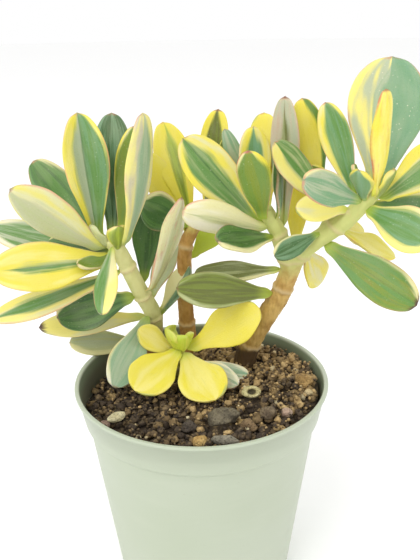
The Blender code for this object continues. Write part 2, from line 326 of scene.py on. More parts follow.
tapered = plastic.sum_up("MULTIPLY_ADD", spot["Z"], -0.2, reach.outputs["Value"])
inside = plastic.times(plastic.step(tapered, 0.0320, 0.0324, 1.0, 0.0),
                        plastic.step(spot["Z"], 0.0815, 0.0835))
inside = plastic.times(inside, plastic.step(spot["Z"], 0.0935, 0.0948, 1.0, 0.0))
# Painted shade on the inner wall above the grit in dark grey-green, with real brown soil dust lower down
# near the soil line.
shade_and_soil = plastic.mix(plastic.step(spot["Z"], 0.088, 0.0935), paint(80, 76, 54), paint(108, 124, 94))
body_colour = plastic.mix(plastic.times(inside, 0.85), body_colour, shade_and_soil)
plastic.relief(plastic.noise(place, 1500.0, 2.0), 0.05, 0.0001)
sage_plastic = plastic.wear(
    body_colour, plastic.step(flow, 0.3, 0.7, 0.38, 0.5), subsurface=0.12, glow=(0.9, 1.0, 0.8),
    glow_reach=0.0015)

DRAINS = 5
DRAIN_RADIUS = 3.5
DRAIN_CIRCLE = 26
holes = []
for turn in range(DRAINS):
    angle = math.radians(90 + 72 * turn)
    bpy.ops.mesh.primitive_cylinder_add(
        vertices=32, radius=DRAIN_RADIUS * MM, depth=12 * MM,
        location=(DRAIN_CIRCLE * MM * math.cos(angle), DRAIN_CIRCLE * MM * math.sin(angle), 1.0 * MM))
    holes.append(bpy.context.object)
pot = new_piece("nursery_pot", pot_mesh, sage_plastic, "pot")
for hole in holes:
    cutting = pot.modifiers.new("drain", "BOOLEAN")
    cutting.operation = "DIFFERENCE"
    cutting.solver = "EXACT"
    cutting.object = hole
drilled = bpy.data.meshes.new_from_object(
    pot.evaluated_get(bpy.context.evaluated_depsgraph_get()))
pot.modifiers.clear()
pot.data = drilled
for hole in holes:
    bpy.data.objects.remove(hole)
for face in pot.data.polygons:
    face.use_smooth = True
print("pot finished with", len(holes), "drain holes")

# %% [markdown]
# ## The grit
#
# Succulents stand in a gritty mix: broken lava, baked clay and a little pumice, 3 to 5 mm grains
# with crumbs between them. A bumpy surface would look like a carpet, so real grains are dropped
# one by one on a grid of heights: each comes to rest on the highest thing below it and raises the
# grid. The heap is a little lower by the left wall and higher to the right.


# %% Shapes of broken grains
def grain_shape(rng, fineness, lumps, chips):
    """One broken stone of radius about 1, as corners and faces."""
    work = bmesh.new()
    bmesh.ops.create_icosphere(work, subdivisions=fineness, radius=1.0)
    offset = Vector((rng.uniform(0, 99), rng.uniform(0, 99), rng.uniform(0, 99)))
    for vert in work.verts:
        vert.co *= 1.0 + lumps * noise.noise(vert.co * 1.3 + offset)
    for _ in range(chips):
        facing = Vector((rng.gauss(0, 1), rng.gauss(0, 1), rng.gauss(0, 1))).normalized()
        depth = rng.uniform(0.55, 0.85)
        for vert in work.verts:
            over = vert.co.dot(facing) - depth
            if over > 0:
                vert.co -= facing * over * 0.92
    corners = np.array([v.co for v in work.verts], float)
    faces = np.array([[v.index for v in f.verts] for f in work.faces], int)
    work.free()
    girth = np.array([rng.uniform(0.85, 1.2), rng.uniform(0.8, 1.05), rng.uniform(0.65, 0.9)])
    return corners * girth, faces


rng = random.Random(11)
grain_shapes = [grain_shape(rng, 2, 0.55, 5) for _ in range(14)]
crumb_shapes = [grain_shape(rng, 1, 0.4, 2) for _ in range(8)]
print("grain shapes:", len(grain_shapes), "large,", len(crumb_shapes), "small")


# %% Drop the grains
soil_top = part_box("soil")[1].z / MM
SETTLED = 3.2
RISE_RIGHT = 5.2
SINK_LEFT = 2.4
HOLLOW = 2.0


def heap_height(x, y):
    """Height that the pot was filled to, in millimetres, with a hollow round the right shoot."""
    outward = min(1.0, math.hypot(x, y) / rim)
    lean = max(-1.0, min(1.0, (0.95 * x - 0.15 * y) / (0.75 * rim)))
    hollow = HOLLOW * math.exp(-((x - 17.0) ** 2 + (y - 14.0) ** 2) / 288.0)
    return soil_top - SETTLED - hollow - 1.2 * outward**2 + (RISE_RIGHT if lean > 0 else SINK_LEFT) * lean


CELL = 0.5
REACH = 50.0
CROWD = 2.6
fill = int(2 * REACH / CELL) + 1
heights = np.array([[heap_height(-REACH + CELL * i, -REACH + CELL * j) for j in range(fill)]
                    for i in range(fill)])
inner_rim = collar_radius - WALL + 1.1
stem_feet = {}
for node in ("stem_left", "stem_middle", "stem_right", "stem_front"):
    points = frame_points(node)
    band = points[np.abs(points[:, 2] - 88.0) < 4.0]
    stem_feet[node] = (band[:, 0].mean(), band[:, 1].mean())


leaf_corners, leaf_sides = [], []
for node in sorted(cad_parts):
    if node.startswith("leaf_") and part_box(node)[0].z < 100 * MM:
        first = len(leaf_corners)
        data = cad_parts[node].data
        leaf_corners += [v.co.copy() for v in data.vertices]
        leaf_sides += [[first + i for i in face.vertices] for face in data.polygons]
low_leaves = BVHTree.FromPolygons(leaf_corners, leaf_sides)


def drop(x, y, radius, settle):
    """Where a grain comes to rest, raising the heap. None under a low leaf or where it is full."""
    i = int(round((x + REACH) / CELL))
    j = int(round((y + REACH) / CELL))
    k = max(1, int(radius * 0.75 / CELL))
    under = heights[i - k:i + k + 1, j - k:j + k + 1]
    rest = np.percentile(under, 80) + settle * radius
    if rest > heap_height(x, y) + (CROWD if radius > 1.1 else 1.8 * CROWD):
        return None
    if low_leaves.find_nearest(Vector((x, y, rest)) * MM)[3] < (radius + 0.9) * MM:
        return None
    crown = rest + 0.55 * radius
    np.maximum(under, crown, out=under)
    return rest


resting = []
for node in ("pebble_pale", "pebble_hollow", "pebble_dark"):
    low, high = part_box(node)
    middle, half = (low + high) / (2 * MM), (high - low) / (2 * MM)
    resting.append((middle.x, middle.y, 0.9 * half.x, 0.9 * half.y))


def scatter(rng, how_many, sizes, shapes, settle, tones):
    """Drop many grains. Gives their places, radii, shapes and tones."""
    made = []
    for _ in range(how_many):
        x = rng.uniform(-inner_rim, inner_rim)
        y = rng.uniform(-inner_rim, inner_rim)
        radius = rng.triangular(*sizes)
        if math.hypot(x, y) > inner_rim - radius * 0.9:
            continue
        if any(math.hypot(x - a, y - b) < 4.0 for a, b in stem_feet.values()):
            continue
        if any(((x - a) / (c + radius)) ** 2 + ((y - b) / (d + radius)) ** 2 < 1.0
               for a, b, c, d in resting):
            continue
        rest = drop(x, y, radius, settle)
        if rest is None:
            continue
        back_right = 0.5 + 0.5 * max(-1.0, min(1.0, (0.6 * x + 0.8 * y) / 30.0))
        tone = tones(rng, back_right)
        made.append((x, y, rest, radius, rng.choice(shapes), tone))
    return made


def tone_of_grain(rng, back_right):
    """0 is dark lava, 1 is pale clay: the lighter clay lies mostly at the back right."""
    roll = rng.random()
    if roll < 0.62 - 0.58 * back_right:
        return rng.uniform(0.02, 0.22)
    if roll < 0.93 - 0.64 * back_right:
        return rng.uniform(0.25, 0.5)
    if roll < 0.975:
        return rng.uniform(0.52, 0.78)
    return rng.uniform(0.85, 1.0)


def heap_mesh(name, grains, rng):
    """All the grains of one kind in one mesh, each with its own tone and turn."""
    corners, faces, tones, seeds = [], [], [], []
    first = 0
    for x, y, z, radius, (shape, sides), tone in grains:
        turn = Matrix.Rotation(rng.uniform(0, 6.28), 3, "Z") @ Matrix.Rotation(
            rng.uniform(-0.7, 0.7), 3, "X") @ Matrix.Rotation(rng.uniform(0, 6.28), 3, "Z")
        turned_shape = shape @ np.array(turn).T * radius + np.array((x, y, z))
        corners.append(turned_shape * MM)
        faces.append(sides + first)
        tones += [tone] * len(shape)
        seeds += [rng.uniform(0, 10)] * len(shape)
        first += len(shape)
    mesh = bpy.data.meshes.new(name)
    mesh.from_pydata(np.concatenate(corners).tolist(), [], np.concatenate(faces).tolist())
    note(mesh, "tone", tones)
    note(mesh, "own", seeds)
    return mesh


rng = random.Random(5)
grains = scatter(rng, 800, (1.4, 2.7, 1.9), grain_shapes, 0.25, tone_of_grain)
grains += scatter(rng, 950, (1.1, 2.4, 1.6), grain_shapes, 0.35, tone_of_grain)
crumbs = scatter(rng, 2100, (0.35, 1.0, 0.6), crumb_shapes, 0.4, tone_of_grain)
print("dropped", len(grains), "grains and", len(crumbs), "crumbs; the heap now reaches",
      round(float(heights.max()), 1), "mm")

# %% [markdown]
# Each grain keeps one tone from dark lava to pale clay. The finish turns the tone into a colour,
# then roughens it with pores and a dusty bloom, because broken stone is never one flat colour.


# %% Finish of the grit
def stony(name, tones):
    """Broken stone: a base colour from the tone, then pores and dust."""
    stone = Finish(name, roughness=0.88)
    place = stone.rest_place()
    ramp = stone.nodes.new("ShaderNodeValToRGB")
    ramp.color_ramp.elements[0].position = tones[0][0]
    ramp.color_ramp.elements[0].color = tones[0][1]
    ramp.color_ramp.elements[1].position = tones[-1][0]
    ramp.color_ramp.elements[1].color = tones[-1][1]
    for position, colour in tones[1:-1]:
        ramp.color_ramp.elements.new(position).color = colour
    stone.links.new(stone.said("tone"), ramp.inputs[0])
    fine = stone.noise(place, 1400.0, 3.0, 0.65)
    coarse = stone.noise(place, 420.0, 2.0)
    colour = stone.mix(stone.step(fine, 0.4, 0.75, 0.0, 0.42), ramp.outputs[0], paint(46, 36, 26))
    colour = stone.mix(stone.step(coarse, 0.48, 0.75, 0.0, 0.45), colour, paint(182, 156, 110))
    pitted = stone.step(stone.cells(place, 1100.0), 0.0, 0.25, 0.4, 0.0)
    height = stone.sum_up("SUBTRACT", fine, pitted)
    stone.relief(height, 0.7, 0.0004)
    return stone.wear(colour, stone.step(fine, 0.3, 0.7, 0.78, 0.95))


GRIT_TONES = (
    (0.0, paint(54, 44, 35)), (0.2, paint(80, 65, 48)), (0.35, paint(108, 88, 60)),
    (0.5, paint(142, 117, 76)), (0.75, paint(206, 174, 118)), (1.0, paint(228, 216, 174)))
grit_finish = stony("lava_and_clay", GRIT_TONES)
rng = random.Random(8)
new_piece("grit_grains", heap_mesh("grit_grains", grains, rng), grit_finish)
new_piece("grit_crumbs", heap_mesh("grit_crumbs", crumbs, rng), grit_finish)

BED_FLOOR = 2.6
BED_EDGE = 85.0
BED_TONE = 0.15
bed_outline = [(0.0, BED_FLOOR), (foot - WALL - 0.4, BED_FLOOR), (shoulder - WALL - 0.5, collar_foot - 1.4),
               (collar_radius - WALL - 0.3, collar_foot + 1.0), (inner_rim - 0.6, BED_EDGE)]
bed_outline += [(inner_rim * share, 85.2) for share in (0.9, 0.75, 0.6, 0.45, 0.3, 0.15)] + [(0.0, 85.2)]
bed_mesh = turned("grit_bed", bed_outline, 96)
for vert in bed_mesh.vertices:
    x, y, z = vert.co / MM
    if z > 84.0:
        vert.co.z = (heap_height(x, y) - 0.6 + 0.5 * noise.noise(Vector((x, y, 0.0)) * 0.4)) * MM
note(bed_mesh, "tone", [BED_TONE] * len(bed_mesh.vertices))
new_piece("grit_bed", bed_mesh, grit_finish, "soil")
print("grit finished")

# %% [markdown]
# Three stones are larger than the rest: a pale oblong one, a hollow ring-like one and a dark one.
# They are made as the grains are, but finer, and stand for the frame's own pebbles.

# %% Larger stones
def speckled(name, dull, pale):
    """Weathered stone in two tones with dark specks in its pores, and painted shade in its hollow where it
    has one.
    """
    stone = Finish(name, roughness=0.85)
    place = stone.rest_place()
    patch = stone.noise(place, 260.0, 4.0, 0.65)
    speck = stone.noise(place, 1500.0, 2.0)
    colour = stone.mix(stone.step(patch, 0.35, 0.65), dull, pale)
    colour = stone.mix(stone.step(speck, 0.58, 0.7, 0.0, 0.6), colour, paint(60, 50, 38))
    # Painted shade in the hollow: the hollow mask darkens the dent of the hollow stone.
    colour = stone.mix(stone.step(stone.said("hollow"), 0.25, 0.8, 0.0, 0.9), colour, paint(58, 50, 32))
    pits = stone.step(stone.cells(place, 900.0), 0.0, 0.35)
    stone.relief(stone.plus(stone.plus(patch, speck), pits), 0.9, 0.0008)
    return stone.wear(colour, stone.step(speck, 0.3, 0.7, 0.75, 0.92))


STONES = {
    "pebble_pale": ("stone_pale", paint(196, 184, 140), paint(224, 214, 172), 0.14, 2, (4.0, 2.3), 35),
    "pebble_hollow": ("stone_tan", paint(192, 180, 122), paint(228, 218, 164), 0.1, 0, (4.1, 3.7), 10),
    "pebble_dark": ("stone_dark", paint(84, 76, 60), paint(128, 118, 94), 0.42, 7, (6.2, 4.2), 20),
}
DENT = Vector((0.0, -0.72, 0.69))
for number, (node, (slot, dull, pale, lumps, chips, girth, turn)) in enumerate(STONES.items()):
    low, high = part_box(node)
    middle = np.array((low + high) / 2) / MM + np.array((0.0, 0.0, 0.6))
    rng = random.Random(40 + number)
    shape, sides = grain_shape(rng, 4, lumps, chips)
    shape /= np.abs(shape).max(0)
    hollow = np.zeros(len(shape))
    if node == "pebble_hollow":
        towards = shape @ np.array(DENT)
        off_axis = np.linalg.norm(shape - towards[:, None] * np.array(DENT), axis=1)
        hollow = np.where(towards > 0, np.exp(-(off_axis / 0.48) ** 4), 0.0)
        shape = shape - 0.95 * hollow[:, None] * np.array(DENT)
    half = np.array((girth[0], girth[1], (high.z - low.z) / (2 * MM)))
    spin = np.array(Matrix.Rotation(math.radians(turn), 3, "Z"))
    corners = (shape * half) @ spin.T + middle
    mesh = bpy.data.meshes.new(node)
    mesh.from_pydata((corners * MM).tolist(), [], sides.tolist())
    note(mesh, "hollow", hollow.tolist())
    new_piece(node + "_piece", mesh, speckled(node + "_stone", dull, pale), node)
print("larger stones:", len(STONES))

# %% [markdown]
# A few more stones of middling size stand out of the grit along the front. They are too small to
# matter for weight, so they are only looks: each is dropped on the finished heap.

# %% Middling stones
MIDDLING = (
    ("clay_cube", (-0.5, -40.0), (3.2, 2.9, 3.0), paint(170, 132, 70), paint(218, 184, 116), 0.1, 7),
    ("grey_slab", (8.6, -41.2), (5.6, 2.6, 2.2), paint(112, 106, 92), paint(158, 150, 130), 0.3, 7),
    ("brown_round", (25.6, -27.9), (3.4, 3.2, 2.8), paint(98, 82, 62), paint(140, 122, 94), 0.2, 2),
    ("rosy_pebble", (32.3, -29.5), (2.4, 2.0, 1.8), paint(170, 140, 120), paint(196, 170, 148), 0.2, 2),
    ("golden_clump", (42.5, -5.0), (4.0, 3.4, 3.0), paint(150, 118, 66), paint(190, 156, 98), 0.5, 2),
    ("rosy_chip", (-38.1, -22.4), (2.2, 1.9, 1.7), paint(150, 120, 104), paint(186, 158, 138), 0.2, 4),
    ("dark_chip", (-4.5, -30.5), (3.2, 3.0, 2.6), paint(62, 54, 46), paint(98, 86, 72), 0.4, 6),
    ("buff_chip", (18.0, -34.5), (3.4, 3.0, 2.6), paint(106, 84, 56), paint(146, 120, 84), 0.3, 5),
)


for number, (name, (x, y), half, dull, pale, lumps, chips) in enumerate(MIDDLING):
    rng = random.Random(60 + number)
    shape, sides = grain_shape(rng, 3, lumps, chips)
    shape /= np.abs(shape).max(0)
    i, j = int(round((x + REACH) / CELL)), int(round((y + REACH) / CELL))
    rest = float(np.median(heights[i - 3:i + 4, j - 3:j + 4])) + 0.25 * half[2]
    turn = np.array(Matrix.Rotation(rng.uniform(-0.3, 0.3), 3, "Z"))
    corners = (shape * np.array(half)) @ turn.T + np.array((x, y, rest))
    mesh = bpy.data.meshes.new(name)
    mesh.from_pydata((corners * MM).tolist(), [], sides.tolist())
    new_piece(name, mesh, speckled(name + "_stone", dull, pale))
print("middling stones:", len(MIDDLING))

# %% [markdown]
# ## The shoots
#
# Old jade wood is tan and corky, and rings of paler bark show where pairs of leaves once stood.
# Towards the tips it is still green and smooth. The frame's shoots have the right run and girth,
# so their meshes are taken as they are, remade in fine even faces, and the bark is pushed out of
# them: fibres, warts, and a swollen ring at each old leaf joint.


# %% Bark on the frame's shoots
def slice_of(node, height, near=None):
    """Middle and mean radius of a shoot where it crosses a height, in millimetres."""
    points = fine_points[node]
    band = points[np.abs(points[:, 2] - height) < 0.8]
    if near is not None:
        band = band[np.hypot(band[:, 0] - near[0], band[:, 1] - near[1]) < 9.0]
    middle = (band.min(0) + band.max(0)) / 2
    return Vector(middle), float(np.hypot(band[:, 0] - middle[0], band[:, 1] - middle[1]).mean())


def remade(node, grain_mm):
    """The frame node's own solid, remade in fine even faces."""
    copy = bpy.data.objects.new("work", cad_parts[node].data.copy())
    bpy.context.scene.collection.objects.link(copy)
    even = copy.modifiers.new("even", "REMESH")
    even.mode = "VOXEL"
    even.voxel_size = grain_mm * MM
    soft = copy.modifiers.new("soft", "SMOOTH")
    soft.factor = 0.6
    soft.iterations = 6
    mesh = bpy.data.meshes.new_from_object(copy.evaluated_get(bpy.context.evaluated_depsgraph_get()))
    bpy.data.objects.remove(copy)
    return mesh


fine_meshes = {node: remade(node, 0.55) for node in stem_feet}
fine_points = {node: np.array([v.co for v in mesh.vertices]) / MM for node, mesh in fine_meshes.items()}
print("shoots remade:", {node: len(mesh.vertices) for node, mesh in fine_meshes.items()})

# %% Leaf joints and bark relief
JOINTS = {
    "stem_right": [(100, None), (129, None), (143, (36, 10)), (146, (43, 8)),
                   (154, (33, 8)), (158, (53, 3)), (164, (54, 9))],
    "stem_left": [(99, None), (111, None), (124, None), (139, None)],
    "stem_middle": [(104, None), (122, None), (143, None)],
    "stem_front": [(84, None), (91, None), (97, None)],
}
GREEN_FROM = {"stem_right": 136.0, "stem_left": 100.0, "stem_middle": 150.0, "stem_front": 70.0}


def grow_bark(node, seed):
    """Push fibres, warts and joint rings out of a shoot, and note how old each point is."""
    mesh = fine_meshes[node]
    rings = []
    for height, near in JOINTS[node]:
        here, radius = slice_of(node, height, near)
        above, _ = slice_of(node, height + 3.0, near)
        rings.append((here, (above - here).normalized(), radius))
    ages, scars = [], []
    normals = [v.normal.copy() for v in mesh.vertices]
    for vert, normal in zip(mesh.vertices, normals):
        point = vert.co / MM
        scar = 0.0
        push = 0.0
        for here, axis, radius in rings:
            gap = point - here
            if gap.length > radius + 5.0:
                continue
            wobble = 0.5 * noise.noise(Vector((point.x, point.y, seed)) * 0.5)
            level = gap.dot(axis) + wobble
            ring = math.exp(-((level / 0.9) ** 2))
            dip = math.exp(-(((level - 1.7) / 0.8) ** 2))
            push += 0.55 * ring - 0.16 * dip
            scar = max(scar, ring)
        age = max(0.0, min(1.0, (GREEN_FROM[node] + 14.0 - point.z) / 28.0))
        fibre = noise.noise(Vector((point.x * 0.9, point.y * 0.9, point.z * 0.16 + seed)))
        fine = noise.noise(Vector((point.x, point.y, point.z * 0.6 + seed)) * 1.6)
        wart = max(0.0, noise.noise(point * 0.8 + Vector((seed, 0, 0))) - 0.35)
        push += age * (0.28 * fibre + 0.12 * fine + 0.9 * wart) + 0.06 * fine
        vert.co += normal * push * MM
        ages.append(age)
        scars.append(scar)
    note(mesh, "age", ages)
    note(mesh, "scar", scars)
    return mesh


# %% [markdown]
# The wood's finish follows the same two numbers: age turns green skin into tan cork, and scar
# lightens the rings. Fine noise stretched up the shoot gives the fibres, and the lowest few
# centimetres are darker, below a height given for each shoot.


# %% Finish of the shoots
def bark_finish(name, old, deep, young, low_dark):
    wood = Finish(name, roughness=0.75)
    place = wood.rest_place()
    age = wood.said("age")
    scar = wood.said("scar")
    up = wood.split(place)
    fibre = wood.noise(wood.drawn_out(place, (1.0, 1.0, 0.22)), 700.0, 4.0, 0.65)
    patch = wood.noise(place, 150.0, 3.0, 0.6)
    cork = wood.mix(wood.step(patch, 0.35, 0.65), old, deep)
    cork = wood.mix(wood.step(fibre, 0.45, 0.75, 0.0, 0.4), cork, paint(140, 104, 48))
    cork = wood.mix(wood.step(up["Z"], low_dark * MM, (low_dark + 3) * MM, 0.94, 0.0),
                    cork, paint(70, 50, 26))
    skin = wood.mix(wood.step(patch, 0.4, 0.7, 0.0, 0.5), young, paint(204, 206, 118))
    skin = wood.mix(wood.step(fibre, 0.5, 0.75, 0.0, 0.3), skin, paint(220, 196, 140))
    colour = wood.mix(wood.step(wood.plus(age, wood.times(patch, 0.4)), 0.45, 0.85),
                      skin, cork)
    colour = wood.mix(wood.times(scar, 0.6), colour, paint(226, 204, 156))
    wood.relief(wood.plus(fibre, patch), 0.45, 0.0005)
    return wood.wear(colour, wood.step(fibre, 0.3, 0.7, 0.6, 0.85), subsurface=0.06)


BARKS = {
    "stem_right": (paint(220, 184, 106), paint(194, 154, 80), paint(212, 216, 132), 97.0),
    "stem_left": (paint(214, 168, 112), paint(190, 142, 88), paint(232, 230, 160), 78.0),
    "stem_middle": (paint(206, 160, 84), paint(178, 130, 60), paint(206, 204, 112), 84.0),
    "stem_front": (paint(222, 206, 112), paint(206, 186, 92), paint(226, 218, 118), 60.0),
}
for seed, (node, (old, deep, young, low_dark)) in enumerate(BARKS.items(), 3):
    mesh = grow_bark(node, seed)
    slot = "young_stem" if node == "stem_front" else "bark"
    new_piece(node + "_grown", mesh, bark_finish(node + "_bark", old, deep, young, low_dark), node)
print("shoots finished")

# %% [markdown]
# ## The leaves
#
# A jade leaf is a thick paddle: round at the tip, narrow at the foot, blunt at the margin, a
# little hollow above and full below. The frame holds each leaf as a coarse closed loft of seven
# eight-sided rings between two points. Reading those rings back gives the leaf's middle line, its
# width, which way its upper face looks, and how far its edges are lifted. A much finer loft is
# then run along the same line, so no leaf moves, but every one gets a real edge, a fold and a
# slight wave. Only the foot is drawn on into the wood, because a leaf grows out of its shoot.


# %% Read a leaf back from the frame
def read_leaf(node):
    """Nine stations from foot to tip: middle, across, upper face, half width, half thickness, lift."""
    raw = frame_points(node)
    keys = {}
    index = [keys.setdefault(tuple(np.round(p, 2)), len(keys)) for p in raw]
    points = np.array([np.array(key) for key in keys])
    near = [set() for _ in points]
    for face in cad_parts[node].data.polygons:
        corners = [index[v] for v in face.vertices]
        for a, b in zip(corners, corners[1:] + corners[:1]):
            if a != b:
                near[a].add(b)
                near[b].add(a)

    def levels(start):
        seen, found, now = {start}, [[start]], [start]
        while now:
            now = sorted({b for a in now for b in near[a]} - seen)
            seen.update(now)
            if now:
                found.append(now)
        return found

    for start in range(len(points)):
        rings = levels(start)
        if [len(ring) for ring in rings] == [1, 8, 8, 8, 8, 8, 8, 8, 1]:
            break
    ordered = []
    for ring in rings[1:-1]:
        chain = [ring[0]]
        while len(chain) < 8:
            chain.append(next(b for b in ring if b in near[chain[-1]] and b not in chain))
        ordered.append(points[chain])
    spread = [max(np.linalg.norm(r[k] - r[k + 4]) for k in range(4)) for r in (ordered[0], ordered[-1])]
    ends = [points[rings[0][0]], points[rings[-1][0]]]
    if spread[0] > spread[1]:
        ordered.reverse()
        ends.reverse()
    middle_ring = ordered[3]
    wide = max(range(4), key=lambda k: np.linalg.norm(middle_ring[k] - middle_ring[k + 4]))
    across_hint = middle_ring[wide] - middle_ring[wide + 4]
    top, under = middle_ring[(wide + 2) % 8], middle_ring[(wide + 6) % 8]
    edges = (middle_ring[wide] + middle_ring[wide + 4]) / 2
    if np.dot(edges - (top + under) / 2, top - under) < 0:
        top, under = under, top
    up_hint = top - under
    if np.dot(np.cross(up_hint, ends[1] - ends[0]), across_hint) < 0:
        across_hint = -across_hint
    stations = []
    for ring in ordered:
        k = max(range(8), key=lambda k: np.dot(ring[k] - ring[(k + 4) % 8], across_hint)
                / np.linalg.norm(ring[k] - ring[(k + 4) % 8]))
        left, right = ring[k], ring[(k + 4) % 8]
        a, b = ring[(k + 2) % 8], ring[(k + 6) % 8]
        if np.dot(a - b, up_hint) < 0:
            a, b = b, a
        across = (left - right) / np.linalg.norm(left - right)
        up = (a - b) / np.linalg.norm(a - b)
        middle = (a + b) / 2
        stations.append((middle, across, up, np.linalg.norm(left - right) / 2,
                         np.linalg.norm(a - b) / 2, np.dot((left + right) / 2 - middle, up)))
    foot_station = (ends[0], stations[0][1], stations[0][2], 0.0, 0.0, 0.0)
    tip_station = (ends[1], stations[-1][1], stations[-1][2], 0.0, 0.0, 0.0)
    return [foot_station, *stations, tip_station]


leaf_nodes = sorted(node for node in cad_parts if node.startswith("leaf_"))
leaf_lines = {node: read_leaf(node) for node in leaf_nodes}
print("leaves read:", len(leaf_lines), "first is",
      round(float(np.linalg.norm(leaf_lines[leaf_nodes[0]][-1][0] - leaf_lines[leaf_nodes[0]][0][0])), 1),
      "mm long")


# %% Loft a fine leaf along its line
def eased(values, share):
    """A smooth curve through evenly spaced values, read at a share of its run."""
    values = np.asarray(values, float)
    at = share * (len(values) - 1)
    i = min(int(at), len(values) - 2)
    t = at - i
    before = values[i - 1] if i > 0 else 2 * values[0] - values[1]
    after = values[i + 2] if i + 2 < len(values) else 2 * values[-1] - values[-2]
    here, following = values[i], values[i + 1]
    return 0.5 * (2 * here + (following - before) * t
                  + (2 * before - 5 * here + 4 * following - after) * t**2
                  + (3 * here - before - 3 * following + after) * t**3)


ROWS = 34
AROUND = 28
RIPPLE = 0.5
TUCK = 1.6
SEAT = 1.3
shoot_trees = [
    BVHTree.FromPolygons([v.co for v in mesh.vertices], [tuple(f.vertices) for f in mesh.polygons])
    for mesh in fine_meshes.values()]


def seated(foot):
    """A leaf's foot as it is if it already sits in wood, else moved into the nearest shoot."""
    spot, outward, _, _ = min((tree.find_nearest(Vector(foot) * MM) for tree in shoot_trees),
                              key=lambda hit: hit[3])
    if (Vector(foot) * MM - spot).dot(outward) < -0.6 * MM:
        return foot
    return np.array((spot - outward * SEAT * MM) / MM)


def leaf_mesh(name, line, look, seed):
    """A fine closed leaf along a line of stations, with the numbers its finish needs."""
    rng = random.Random(seed)
    middles, acrosses, ups, widths, thicks, lifts = (np.array(part) for part in zip(*line))
    length = float(np.linalg.norm(middles[-1] - middles[0]))
    widest = float(widths.max())
    heading = (middles[1] - middles[0]) / np.linalg.norm(middles[1] - middles[0])
    middles[0] = seated(middles[0] - heading * TUCK)
    phase = rng.uniform(0, 6.28)
    waves = rng.uniform(1.2, 2.2)
    work = bmesh.new()
    along_of, across_of, under_of, grain_of = [], [], [], []

    def add(point, along, across, under):
        along_of.append(along)
        across_of.append(across)
        under_of.append(under)
        grain_of.append((along * length, across * widest, seed * 13.7))
        return work.verts.new(Vector(point) * MM)

    rings = []
    for row in range(1, ROWS):
        share = row / ROWS
        t = 0.5 * (1 - math.cos(math.pi * share))
        middle = eased(middles, share)
        across = eased(acrosses, share)
        across /= np.linalg.norm(across)
        up = eased(ups, share)
        up -= across * np.dot(up, across)
        up /= np.linalg.norm(up)
        near_tip = max(0.0, (t - 0.72) / 0.28)
        near_foot = max(0.0, 1.0 - t / 0.16)
        width = max(0.3, float(eased(widths, share))) * (1.0 - look["point"] * 0.45 * near_tip**1.5)
        width = max(width, (1.7 - 0.5 * near_foot) * min(1.0, share * 9.0) * (1.0 if t < 0.3 else 0.0))
        thick = max(0.25, float(eased(thicks, share)))
        lift = float(eased(lifts, share)) + look["fold"] * width
        ring = []
        for k in range(AROUND):
            angle = 2 * math.pi * k / AROUND
            c, s = math.cos(angle), math.sin(angle)
            v = math.copysign(abs(c) ** 0.72, c)
            uneven = noise.noise(Vector((t * 4.0, math.copysign(3.0, c), seed * 3.1)))
            rough_edge = 1.0 + look["lobes"] * uneven
            if s >= 0:
                rise = 0.75 * thick * s**0.7
                rise -= look["groove"] * math.exp(-((v / 0.2) ** 2)) * math.sin(math.pi * min(1.0, t * 1.1))
            else:
                rise = -1.2 * thick * (-s) ** 0.8
            side = 0.0 if c > 0 else 1.4
            ripple = RIPPLE * abs(v) ** 3 * math.sin(waves * 2 * math.pi * t + phase + side)
            rise += lift * abs(v) ** look["vee"] + ripple * min(1.0, 3 * t)
            point = middle + across * v * width * rough_edge + up * rise
            ring.append(add(point, t, v, 1.0 if s < -0.15 else 0.0))
        rings.append(ring)
    ends = [add(middles[0], 0.0, 0.0, 0.0),
            add(middles[-1] + (middles[-1] - middle) * look["point"], 1.0, 0.0, 0.0)]
    for lower, upper in zip(rings, rings[1:]):
        for i in range(AROUND):
            j = (i + 1) % AROUND
            work.faces.new((lower[i], lower[j], upper[j], upper[i]))
    for i in range(AROUND):
        j = (i + 1) % AROUND
        work.faces.new((ends[0], rings[0][j], rings[0][i]))
        work.faces.new((ends[1], rings[-1][i], rings[-1][j]))
    bmesh.ops.recalc_face_normals(work, faces=work.faces)
    mesh = bpy.data.meshes.new(name)
    work.to_mesh(mesh)
    work.free()
    for label, values in (("along", along_of), ("across", across_of), ("under", under_of)):
        note(mesh, label, values)
    mesh.attributes.new("grain", "FLOAT_VECTOR", "POINT").data.foreach_set(
        "vector", [c for vector in grain_of for c in vector])
    return mesh


print("leaf loft ready:", (ROWS - 1) * AROUND + 2, "corners a leaf")

# %% [markdown]
# ## The leaf's colours
#
# Variegation is a growth pattern: green tissue lies in one band of the leaf, and the rest has no
# chlorophyll, so it stays cream or yellow. The border between them runs along the leaf and is
# streaky. So the recipe works with two numbers from the mesh: how far along the leaf a point is,
# and how far across. A band between two across values is green, streaked with paler green, and
# whatever lies outside the band is margin. The very edge blushes pink in strong light, and fine
# pale wax dots stand over the pores.

# %% Leaf paints
PAINTS = {
    "lemon": paint(240, 226, 76), "butter": paint(246, 234, 128), "cream": paint(230, 224, 164),
    "ivory": paint(236, 232, 202), "deep": paint(62, 102, 46), "green": paint(100, 146, 66),
    "blue": paint(134, 170, 130), "sea": paint(122, 166, 124), "sage": paint(190, 196, 140),
    "olive": paint(132, 150, 44), "moss": paint(104, 112, 40), "lime": paint(196, 214, 70),
    "grey": paint(184, 194, 160), "dusk": paint(204, 192, 164), "pink": paint(228, 156, 124),
    "rose": paint(206, 112, 96), "brown": paint(128, 82, 58),
}
PLAIN_LOOK = dict(
    core=(-0.55, 0.55), deep="green", pale="blue", streaks=0.55, margin="lemon", margin_pale="cream",
    band=(9.0, 9.1), blush=0.5, edge="pink", tip=0.3, stain=0.0, burn=0.0, midrib=0.0, fold=0.0,
    vee=1.6, point=0.0, groove=0.25, lobes=0.03, wander=0.26,
    wax_and_highlight=0.1, under=0.14, dots=0.3, soft=0.14)


